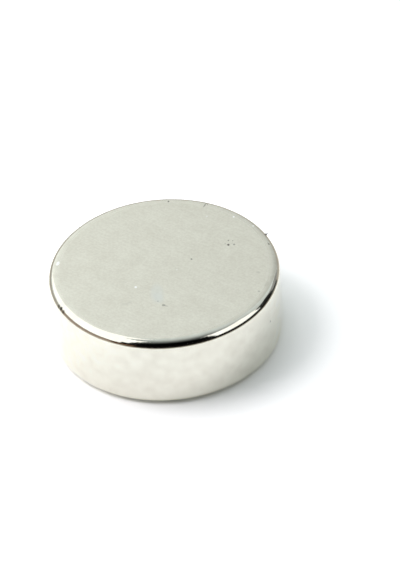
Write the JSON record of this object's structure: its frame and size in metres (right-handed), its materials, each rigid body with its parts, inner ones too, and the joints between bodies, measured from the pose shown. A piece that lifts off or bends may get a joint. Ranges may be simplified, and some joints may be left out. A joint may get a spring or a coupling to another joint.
{
  "type": "disc magnet",
  "caption": "Nickel-plated disc magnet with flat satin faces, a bright round side and tumbled edges, lying on one face.",
  "frame": {"origin": "centre of the lower flat face, where the disc rests", "axes": "+Z along the axis of the disc, from the lower face to the upper one; +X and +Y lie in the lower face, with +X to the right of the picture's view and -Y towards its camera"},
  "size_m": [0.03, 0.03, 0.0103],
  "materials": {
    "nickel_plate": "bright nickel plate: satin ground faces, polished edges, glossy side"
  },
  "bodies": {
    "root": {"disc_magnet": "nickel_plate"}
  },
  "joints": []
}
